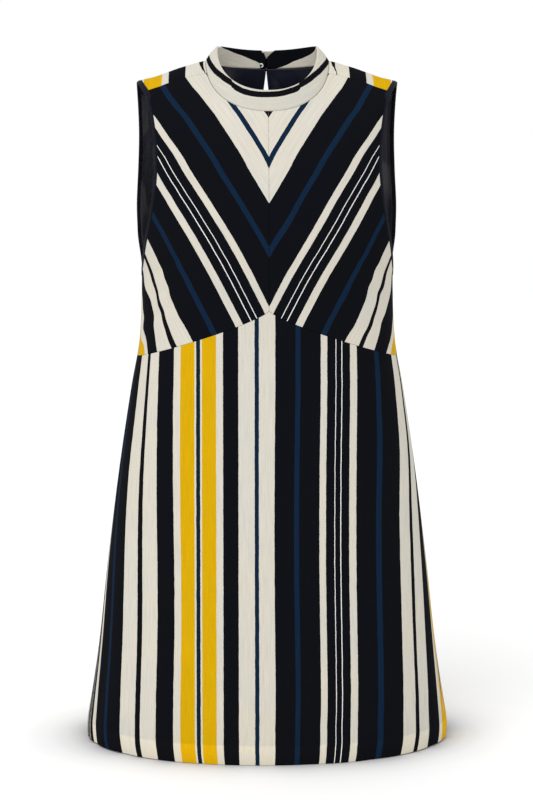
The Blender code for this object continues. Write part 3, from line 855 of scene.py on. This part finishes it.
def unit_normals(grid):
    """The unit normals of a grid of points."""
    out = np.cross(np.gradient(grid, axis=1), np.gradient(grid, axis=0))
    return out / np.linalg.norm(out, axis=2)[..., None]


def rounding(distance, radius):
    """How far a face draws back near a rounded edge."""
    near = 1 - np.clip(distance / radius, 0, 1)
    return radius * (1 - np.sqrt(1 - near ** 2))


def half_turn(count):
    """Shares of the half turn from the centre front to the centre back, evenly on the cloth."""
    quarter = across(count // 2) / 2
    return np.concatenate([quarter, 1 - quarter[-2::-1]])


ROUND_STEPS = (0.0, 0.02, 0.08, 0.2, 0.4, 0.7, 1.0)   # of the rounding's radius


def collar_half(draw_back):
    """Half of the collar: its points, its angles and its shares of the height."""
    radius = COLLAR_WALL / 2
    near_top = 1 - np.array(ROUND_STEPS[::-1]) * radius / COLLAR_HEIGHT
    low = COLLAR_SEAM_GAP / (COLLAR_TOP.side - NECK.side)
    share = np.concatenate([np.linspace(low, near_top[0], COLLAR_ROWS + 1)[:-1], near_top])
    opening = np.clip((share - NOTCH_START) / (1 - NOTCH_START), 0, 1) ** NOTCH_CURVE
    ends = np.array([back_angle(COLLAR_END + draw_back * part) for part in opening])
    steps = half_turn(COLLAR_COLUMNS)
    end_step = np.array(ROUND_STEPS[1:-1][::-1]) * radius / COLLAR_HALF_LENGTH
    steps = np.unique(np.concatenate([steps[:-1], 1 - end_step, [1.0]]))
    angles = ends[:, None] * steps[None]
    return collar_face(np.broadcast_to(share[:, None], angles.shape), angles), angles, share


def collar_stripe(points, angles, share, side):
    """The print's threads on half of the collar, with their step at its tuck."""
    base = curve(COLLAR_STRIPES, "angle", SIDE_WORD[side], angles)
    height = curve(COLLAR_STRIPES, "angle", "height", angles)
    off = points[..., 0] - TUCKS_AT[0 if side < 0 else 1] * side
    step = TUCK_STEP * (0.5 - smooth(0.5 + off / TUCK_WIDTH / 2))
    return base + share * height + step * np.exp(-(off / TUCK_REACH) ** 2) * (angles < SIDE_ANGLE)


def collar(outside, facing):
    """The whole collar, from one end at the centre back round to the other."""
    halves = []
    for side, draw_back in ((-1, NOTCH_RIGHT), (1, NOTCH_LEFT)):
        points, angles, share = collar_half(draw_back)
        shares = np.broadcast_to(share[:, None], angles.shape)
        fields = [points, angles, shares, collar_stripe(points, angles, shares, side)]
        if side < 0:
            fields = [mirror(points)] + [f[:, ::-1] for f in fields[1:]]
        halves.append(fields)
    points, angles, shares, stripe = (
        np.concatenate([r[:, :-1], l], axis=1) for r, l in zip(*halves))
    out = unit_normals(points)
    top = edge_distance(points, *EDGES["top"])
    ends = np.minimum(edge_distance(points, *EDGES["start"]), edge_distance(points, *EDGES["end"]))
    radius = COLLAR_WALL / 2
    inset = np.maximum(rounding(top, radius), rounding(ends, radius))
    inset = np.minimum(inset, ROUNDED * radius)
    near_foot = 1 - np.clip(edge_distance(points, *EDGES["bottom"]) / COLLAR_SEAM_ROUND, 0, 1)
    foot = COLLAR_SEAM_DIP * near_foot ** 2
    bow = COLLAR_BOW * np.sin(np.pi * np.clip(shares, 0, 1))
    off = np.minimum(*(np.abs(points[..., 0] - place) for place in TUCKS_AT))
    tuck = TUCK_DEPTH * np.exp(-(off / TUCK_WIDTH / 2) ** 2) * smooth(1.5 * shares + 0.1)
    tuck = tuck * (angles < SIDE_ANGLE)
    slack = COLLAR_SLACK * np.sin(np.radians(angles * COLLAR_WAVES)) * np.sin(np.pi * shares) ** 2
    outer = points + (bow - tuck + slack - foot - inset)[..., None] * out
    inner = points + (bow / 2 + slack - COLLAR_WALL + inset)[..., None] * out
    return shell("collar_cloth", outer, inner, [outside, facing], stripe, angles * COLLAR_ALONG)


def collar_tab(outside):
    """The tab behind the notch: cream at its top, and dark where the collar's ends meet."""
    share = np.linspace(*TAB_SPAN, TAB_ROWS + 1)[:, None]
    angles = np.linspace(back_angle(TAB_HALF_WIDTH), BACK_ANGLE, TAB_COLUMNS + 1)
    half = collar_face(share + 0 * angles, angles + 0 * share)
    grid = np.concatenate([half, mirror(half)[:, 1:]], axis=1)
    shares = np.broadcast_to(share[..., None], grid.shape[:2] + (1,))
    grid = finer_edges(np.concatenate([grid, shares], axis=2))
    face, share = grid[..., :3], grid[..., 3]
    out = unit_normals(face)
    near = np.minimum.reduce([edge_distance(face, *EDGES[edge]) for edge in EDGES])
    inset = np.minimum(rounding(near, TAB_WALL / 2), TAB_ROUNDED * TAB_WALL / 2)
    lap = SEAM_GAP + TAB_LAP * np.clip(share / TAB_SPAN[0], 0, 1)
    inner = face + (lap + inset)[..., None] * out
    outer = face + (lap + TAB_WALL - inset)[..., None] * out
    stripe = np.interp(share, TAB_CHANGE, [TAB_DARK, TAB_LIGHT])
    return shell("collar_tab_cloth", outer, inner, [outside], stripe, face[..., 2], OUTSIDE)


BINDING_EDGE_STEPS = 7
BINDING_FACE_STEPS = 6
BINDING_FLAT = 0.9           # how round its edge is
BINDING_SOFT = 0.0004        # how far its corners are cut
BINDING_SWELL = 0.0007       # how far its outer face falls towards the panel


def binding(side, finish):
    """The rounded armhole binding, as a profile swept round the armhole's edge."""
    radius = BINDING_WALL / 2
    turns = np.linspace(0, np.pi, BINDING_EDGE_STEPS)
    profile = [(radius * BINDING_FLAT * (1 - math.sin(t)), radius - BINDING_PROUD - radius * math.cos(t))
               for t in turns]
    face = np.linspace(radius, BINDING_WIDTH - BINDING_SOFT, BINDING_FACE_STEPS)[1:]
    deep = BINDING_WALL - BINDING_PROUD
    profile += [(a, deep) for a in face]
    profile += [(BINDING_WIDTH, deep - BINDING_SOFT), (BINDING_WIDTH, BINDING_SOFT)]
    profile += [(a, -BINDING_PROUD + BINDING_SWELL * ((a - radius) / (BINDING_WIDTH - radius)) ** 3)
                for a in face[::-1]]
    loops = [inside(set_back(ARMHOLE, distance) if distance else ARMHOLE, depth)
             for distance, depth in profile]
    ring = np.stack(loops) * (side, 1, 1)
    index = np.arange(ring.size // 3).reshape(ring.shape[:2])
    up, over = np.roll(index, -1, axis=0), np.roll(index, -1, axis=1)
    order = [index, over, np.roll(up, -1, axis=1), up]
    if side > 0:
        order = order[::-1]
    faces = np.stack(order, axis=-1).reshape(-1, 4)
    piece = mesh_object("armhole_binding_cloth_" + SIDE_WORD[side], ring.reshape(-1, 3), faces)
    piece.data.materials.append(finish)
    return piece


STITCH_LENGTH = 0.0022
STITCH_SPACE = 0.0009
STITCH_RADIUS = 0.00022
STITCH_ENDS = 0.55           # the share of its radius that a stitch keeps at its ends
STITCH_SUNK = 0.35           # the share of its radius by which its ends sink in
STITCH_RINGS = 5
STITCH_SIDES = 6
STITCH_INSET = 0.0011        # from the binding's edge on the panel
STITCH_DEPTH = 0.0002        # the line's depth under the binding's highest level
SHORT_STEP = 0.0001          # over which a line's direction is measured


def stitches(name, line_points, out, finish):
    """Short raised threads laid end to end along a line of points."""
    steps = np.linalg.norm(np.diff(line_points, axis=0), axis=1)
    along = np.concatenate([[0], np.cumsum(steps)])
    count = int(along[-1] / (STITCH_LENGTH + STITCH_SPACE))
    share = np.linspace(0, 1, STITCH_RINGS)
    at = np.arange(count)[:, None] * along[-1] / count + share * STITCH_LENGTH

    def follow(values, at):
        return np.stack([np.interp(at, along, column) for column in values.T], axis=-1)

    ahead = follow(line_points, at + SHORT_STEP) - follow(line_points, at - SHORT_STEP)
    up = follow(out, at)
    aside = np.cross(ahead, up)
    aside /= np.linalg.norm(aside, axis=-1)[..., None]
    arch = np.sin(np.pi * share)[:, None]
    turn = np.linspace(0, 2 * np.pi, STITCH_SIDES, endpoint=False)
    size = STITCH_RADIUS * (STITCH_ENDS + (1 - STITCH_ENDS) * arch)
    lift = STITCH_RADIUS * (arch - STITCH_SUNK) + size * np.sin(turn)
    points = (follow(line_points, at)[:, :, None] + up[:, :, None] * lift[..., None]
              + aside[:, :, None] * (size * np.cos(turn))[..., None])
    index = np.arange(points.size // 3).reshape(points.shape[:3])
    low, high = index[:, :-1], index[:, 1:]
    walls = np.stack([low, np.roll(low, -1, axis=2), np.roll(high, -1, axis=2), high], axis=-1)
    piece = mesh_object(name, points.reshape(-1, 3),
                        [*walls.reshape(-1, 4), *index[:, 0, ::-1], *index[:, -1]])
    piece.data.materials.append(finish)
    return piece


def binding_stitches(side, finish):
    """The row of stitches that holds the armhole binding."""
    edge = set_back(ARMHOLE, BINDING_WIDTH - STITCH_INSET)
    edge = np.concatenate([edge, edge[:1]])
    points = inside(edge, STITCH_DEPTH - BINDING_PROUD) * (side, 1, 1)
    return stitches("armhole_stitches_" + SIDE_WORD[side], points,
                    normals(edge) * (side, 1, 1), finish)


def hook(finish):
    """The pale wire hook inside the collar, as a fine round wire on its solid's route."""
    lean = (COLLAR_TOP.back_depth - NECK.back_depth) / (COLLAR_TOP.back - NECK.back)
    depth = (COLLAR_WALL + HOOK_GAP + HOOK_WIRE_RADIUS) * (1 + lean ** 2) ** 0.5
    run = list(zip(HOOK_ROUTE, (HOOK_EYE_LIFT, HOOK_EYE_LIFT, HOOK_EYE_LIFT, 0.0)))
    run += [(x, -rise) for x, rise in reversed(run[1:3])]
    wire = bpy.data.curves.new("neck_hook_wire", "CURVE")
    wire.dimensions = "3D"
    wire.bevel_depth = HOOK_COATED_RADIUS
    wire.bevel_resolution = 4
    wire.use_fill_caps = True
    spline = wire.splines.new("NURBS")
    spline.points.add(len(run) - 1)
    for point, (x, rise) in zip(spline.points, run):
        height = HOOK_HEIGHT + rise
        face = NECK.back_depth + lean * (height - NECK.back)
        bend = x * x / (2 * COLLAR_TOP.back_depth)
        point.co = (x, face - depth - bend, height, 1.0)
    spline.use_endpoint_u = True
    spline.order_u = 3
    spline.resolution_u = 8
    wire.materials.append(finish)
    return placed("neck_hook_wire", wire)


# Materials ---------------------------------------------------------------------------------

class Nodes:
    """A material's node tree, with short ways to add nodes and join them."""

    def __init__(self, name, roughness, specular, sheen=0.0):
        self.material = bpy.data.materials.new(name)
        self.material.use_nodes = True
        self.tree = self.material.node_tree
        self.shader = self.tree.nodes["Principled BSDF"]
        self.shader.inputs["Roughness"].default_value = roughness
        self.shader.inputs["Specular IOR Level"].default_value = specular
        self.shader.inputs["Sheen Weight"].default_value = sheen

    def join(self, value, socket):
        if isinstance(value, bpy.types.NodeSocket):
            self.tree.links.new(value, socket)
        else:
            socket.default_value = value

    def node(self, kind, inputs, output=0, **settings):
        """One output of a new node with these settings and inputs."""
        node = self.tree.nodes.new("ShaderNode" + kind)
        for setting, value in settings.items():
            setattr(node, setting, value)
        for socket, value in inputs.items():
            self.join(value, node.inputs[socket])
        return node.outputs[output]

    def math(self, operation, *values):
        return self.node("Math", dict(enumerate(values)), operation=operation)

    def value(self, name):
        """A value that a piece keeps for each of its points."""
        return self.node("Attribute", {}, "Fac", attribute_name=name)

    def position(self):
        return self.node("TexCoord", {}, "Object")

    def position_part(self, axis):
        """The position's x, y or z, for the axis 0, 1 or 2."""
        return self.node("SeparateXYZ", {0: self.position()}, axis)

    def stretched(self, share):
        """The position, with its height counted by a share of itself."""
        return self.node("Mapping", {"Vector": self.position(), "Scale": (1.0, 1.0, share)})

    def vector(self, x, y, z):
        return self.node("CombineXYZ", {0: x, 1: y, 2: z})

    def noise(self, vector, scale, detail=2.0, roughness=0.5):
        return self.node("TexNoise", {"Vector": vector, "Scale": scale, "Detail": detail,
                                      "Roughness": roughness}, "Fac")

    def grain(self, scale, detail=2.0, roughness=0.5):
        """Noise in the cloth itself."""
        return self.noise(self.position(), scale, detail, roughness)

    def ramp(self, factor, stops, interpolation="LINEAR"):
        node = self.tree.nodes.new("ShaderNodeValToRGB")
        node.color_ramp.interpolation = interpolation
        elements = node.color_ramp.elements
        while len(elements) > 1:
            elements.remove(elements[-1])
        elements[0].position, elements[0].color = stops[0][0], (*stops[0][1], 1.0)
        for position, color in stops[1:]:
            elements.new(position).color = (*color, 1.0)
        self.join(factor, node.inputs[0])
        return node.outputs["Color"]

    def mix(self, blend, factor, a, b):
        return self.node("Mix", {"Factor": factor, "A": a, "B": b}, "Result",
                         data_type="RGBA", blend_type=blend)

    def times(self, a, b):
        """One colour dyed with another."""
        return self.mix("MULTIPLY", 1.0, a, b)

    def bump(self, height, strength, distance, **normal):
        """The way that a rough face looks, on top of any normal that is given."""
        return self.node("Bump", {"Height": height, "Strength": strength, "Distance": distance,
                                  **normal}, "Normal")

    def set(self, name, value):
        self.join(value, self.shader.inputs[name])


PRINT_PARTS = 8              # a ramp has few steps, so the repeat is shared out over several


def printed_bands(m, thread):
    """The colour of the print at each thread of its repeat."""
    size = REPEAT / PRINT_PARTS
    edges = np.concatenate([[0.0], np.cumsum([band.width for band in BANDS])])
    color = None
    for part in range(PRINT_PARTS):
        low = part * size
        stops = [(max(0.0, (start - low) / size), COLORS[band.color])
                 for start, end, band in zip(edges, edges[1:], BANDS)
                 if end > low and start < low + size]
        ramp = m.ramp(m.math("DIVIDE", m.math("SUBTRACT", thread, low), size), stops, "CONSTANT")
        color = ramp if color is None else m.mix("MIX", m.math("GREATER_THAN", thread, low),
                                                 color, ramp)
    return color


PLAIN = (1.0, 1.0, 1.0)
HEM_TINT = 0.027             # how far up the doubled cloth shows as a warmer tint
HEM_EDGE = 0.003             # the height over which the tint sets in
HEM_COLOR = (1.20, 1.165, 1.095)
WANDER = 0.8                 # the threads by which the print's edges wander along the cloth
BLEED = 0.4                  # and by which they fray from yarn to yarn
YARN_SHADES = (0.90, 1.04)


def striped_crepe(name, tone_and_painted_light=1.0):
    """Printed crepe: the stripe repeat with slightly wandering edges over a crinkled yarn."""
    m = Nodes(name, 0.95, 0.04)
    stripe, along = m.value("stripe"), m.value("along")

    def cloth(across_scale, along_scale):
        return m.vector(m.math("MULTIPLY", stripe, across_scale),
                        m.math("MULTIPLY", along, along_scale), 0.0)

    count = stripe
    for noise, threads in ((m.noise(cloth(0.045, 60.0), 1.0), WANDER), (m.grain(420.0, 1.0), BLEED)):
        count = m.math("ADD", count, m.math("MULTIPLY", m.math("SUBTRACT", noise, 0.5), threads))
    color = printed_bands(m, m.math("FLOORED_MODULO", count, REPEAT))
    streak = m.noise(cloth(1.1, 26.0), 1.0, 3.0, 0.6)
    # The yarn's shades are scaled by one factor: below 1 it darkens the cloth, and above 1, on the
    # collar's facing, it is painted light that brightens the shaded inside of the neck.
    low, high = (shade * tone_and_painted_light for shade in YARN_SHADES)
    color = m.times(color, m.ramp(streak, [(0.30, (low, low, low * 0.99)), (0.62, (high,) * 3)]))
    cloud = m.grain(14.0, 3.0, 0.6)
    color = m.times(color, m.ramp(cloud, [(0.35, (0.97, 0.98, 1.0)), (0.65, (1.02, 1.0, 0.97))]))
    edge = m.math("SUBTRACT", HEM.front + HEM_TINT, m.math("ADD", along, HEM_EDGE / 2))
    tint = m.ramp(m.math("DIVIDE", edge, HEM_EDGE), [(0.0, PLAIN), (1.0, HEM_COLOR)])
    m.set("Base Color", m.times(color, tint))
    ribs = m.bump(streak, strength=0.35, distance=0.0004)
    m.set("Normal", m.bump(m.grain(1300.0, 2.0, 0.6), 0.25, 0.0003, Normal=ribs))
    return m.material


SHEEN_SCALE = 42.0
SHEEN_STRETCH = 0.42
SHEEN_STOPS = [(0.50, (0.0,) * 3), (0.60, PLAIN)]
SHEEN_COLOR = (0.058, 0.055, 0.062, 1.0)
SHEEN_TOP = -0.030           # the lining catches the light only below this height


def shades(m, factor, color, low, high):
    """A colour that wavers between two shares of itself."""
    return m.ramp(factor, [(0.3, [c * low for c in color]), (0.7, [c * high for c in color])])


def satin(name, color, roughness):
    """Dark lining satin with soft creasing and paler patches where it catches the light."""
    m = Nodes(name, roughness, 0.45, 0.15)
    m.shader.inputs["Sheen Roughness"].default_value = 0.4
    soft = m.grain(16.0, 3.0, 0.55)
    patch = m.ramp(m.noise(m.stretched(SHEEN_STRETCH), SHEEN_SCALE, 1.0), SHEEN_STOPS)
    patch = m.math("MULTIPLY", patch, m.math("LESS_THAN", m.position_part(2), SHEEN_TOP))
    m.set("Base Color", m.mix("MIX", patch, shades(m, soft, color, 0.75, 1.5), SHEEN_COLOR))
    creases = m.bump(soft, strength=0.35, distance=0.004)
    m.set("Normal", m.bump(m.grain(1800.0, 1.0), 0.12, 0.0002, Normal=creases))
    return m.material


def plain_weave(name, color, roughness, specular, scale):
    """A fine plain woven cloth in one colour."""
    m = Nodes(name, roughness, specular, 0.05)
    m.set("Base Color", shades(m, m.grain(60.0, 3.0), color, 0.8, 1.25))
    m.set("Normal", m.bump(m.grain(scale, 1.0), strength=0.3, distance=0.0003))
    return m.material


def lacquer(name, color):
    """Glossy paint on the hook's wire."""
    m = Nodes(name, 0.35, 0.5)
    cloud = m.grain(700.0)
    m.set("Base Color", shades(m, cloud, color, 0.9, 1.0))
    m.set("Roughness", m.ramp(cloud, [(0.3, (0.3,) * 3), (0.7, (0.45,) * 3)]))
    return m.material


CREPE = striped_crepe("striped_crepe")
WRONG_SIDE = striped_crepe("striped_crepe_wrong_side", tone_and_painted_light=0.86)
# The collar's facing lies in shade inside the neck; its print is brightened 1.30 times as painted light.
FACING = striped_crepe("striped_crepe_facing_painted_light", tone_and_painted_light=1.30)
COLLAR_CREPE = striped_crepe("striped_crepe_collar", tone_and_painted_light=0.93)
LINING = satin("navy_satin", (0.0052, 0.0060, 0.0165), 0.38)
BINDING = plain_weave("navy_binding", (0.0042, 0.0050, 0.0110), 0.80, 0.06, 1500.0)
THREAD = plain_weave("navy_thread", (0.0050, 0.0062, 0.0150), 0.70, 0.10, 3000.0)
LACQUER = lacquer("white_lacquer", (0.86, 0.86, 0.82))


# Assembly ----------------------------------------------------------------------------------

def add(piece, slot, *nodes):
    """Fixes a piece to the dress, in the place of the nodes that it stands for."""
    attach(piece, "root")
    if nodes:
        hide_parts(*nodes)
    return piece


bodice = finer_edges(front_bodice_places())
for side, word in SIDE_WORD.items():
    half_front = add(panel(f"front_bodice_cloth_{word}", bodice, side, bodice_stripe,
                           EDGES, [CREPE, LINING]), "bodice_cloth", f"front_bodice_{word}")
    half_back = add(back_panel(side, [CREPE, WRONG_SIDE, LINING]), "striped_cloth",
                    f"back_{word}")
    satin_half = add(back_lining(side, LINING), "lining_satin", f"back_lining_{word}")
    edging = add(binding(side, BINDING), "binding_cloth", f"armhole_binding_{word}")
    add(binding_stitches(side, THREAD), "binding_cloth")

skirt = add(front_skirt([CREPE, WRONG_SIDE]), "striped_cloth", "front_skirt")
neck_band = add(collar(COLLAR_CREPE, FACING), "collar_cloth", "collar")
neck_tab = add(collar_tab(CREPE), "collar_cloth", "collar_tab")
add(hook(LACQUER), "hook_wire", "neck_hook")


# Floor, light and camera -------------------------------------------------------------------

FLOOR = HEM.front - 0.0004
FLOOR_HALF = 12.0
# The floor's shade at shares of the way out from the middle, where 1 is the hem.
FLOOR_SHADE = [(1.00, 0.60), (1.04, 0.70), (1.10, 0.82), (1.20, 0.92), (1.34, 0.98), (1.50, 1.0)]
FLOOR_RAMP = 2.0             # the share at the end of the ramp


def floor_shade(m):
    """A soft shade round the hem, as under cloth that stands on a white sweep."""
    parts = [m.math("POWER", m.math("DIVIDE", m.math("ABSOLUTE", m.position_part(axis)), reach),
                    HEM.squareness)
             for axis, reach in enumerate((HEM.width, HEM.front_depth))]
    share = m.math("POWER", m.math("ADD", *parts), 1 / HEM.squareness)
    stops = [(at / FLOOR_RAMP, (shade,) * 3) for at, shade in FLOOR_SHADE]
    return m.ramp(m.math("DIVIDE", share, FLOOR_RAMP), stops)


def floor():
    """The pale floor that the dress's hem stands on."""
    corners = [(x * FLOOR_HALF, y * FLOOR_HALF, FLOOR)
               for x, y in ((-1, -1), (1, -1), (1, 1), (-1, 1))]
    piece = mesh_object("floor", corners, [(0, 1, 2, 3)], smooth_faces=False)
    m = Nodes("studio_floor", 0.9, 0.1)
    white = m.ramp(m.grain(3.0), [(0.3, (0.89,) * 3), (0.7, (0.90,) * 3)])
    m.set("Base Color", m.times(white, floor_shade(m)))
    piece.data.materials.append(m.material)


def light(name, kind, direction, energy, **settings):
    """A light that shines in a direction."""
    lamp = bpy.data.lights.new(name, kind)
    lamp.energy = energy
    for setting, value in settings.items():
        setattr(lamp, setting, value)
    thing = placed(name, lamp)
    thing.rotation_euler = Vector(direction).to_track_quat("-Z", "Y").to_euler()
    return thing


KEY_PLACE = (-0.7, -1.3, 0.9)
KEY_AIM = (0.0, 0.0, -0.2)

floor()
light("sky", "SUN", (0.35, 0.60, -0.72), 0.9, angle=math.radians(50))
key = light("key", "AREA", np.array(KEY_AIM) - np.array(KEY_PLACE), 5.0,
            shape="RECTANGLE", size=1.2, size_y=1.2)
key.location = KEY_PLACE
scene = bpy.context.scene
scene.world = bpy.data.worlds.new("studio")
scene.world.use_nodes = True
background = scene.world.node_tree.nodes["Background"]
background.inputs["Color"].default_value = (1.0, 1.0, 1.0, 1.0)
background.inputs["Strength"].default_value = 1.0
scene.view_settings.view_transform = "Standard"

# The camera stands before the dress, a little above its middle, and looks slightly down.
CAMERA_DISTANCE = 2.5
CAMERA_HEIGHT = -0.17
CAMERA_TURN = math.radians(1.2)
CAMERA_ASIDE = -0.0009
PHOTO_HEIGHT = 800           # pixels
FOCAL_PIXELS = 1953          # the camera's focal length in the photo's pixels
TILT_PIXELS = 195            # from the camera's level line to the photo's middle
SENSOR = 36.0

camera_data = bpy.data.cameras.new("camera")
camera_data.sensor_width = SENSOR
camera_data.lens = FOCAL_PIXELS / PHOTO_HEIGHT * SENSOR
camera = placed("camera", camera_data)
sin, cos = math.sin(CAMERA_TURN), math.cos(CAMERA_TURN)
camera.location = (-CAMERA_DISTANCE * sin + CAMERA_ASIDE * cos,
                   -CAMERA_DISTANCE * cos - CAMERA_ASIDE * sin, CAMERA_HEIGHT)
tilt = math.atan(TILT_PIXELS / FOCAL_PIXELS)
camera.rotation_euler = (math.pi / 2 - tilt, 0.0, -CAMERA_TURN)
scene.camera = camera
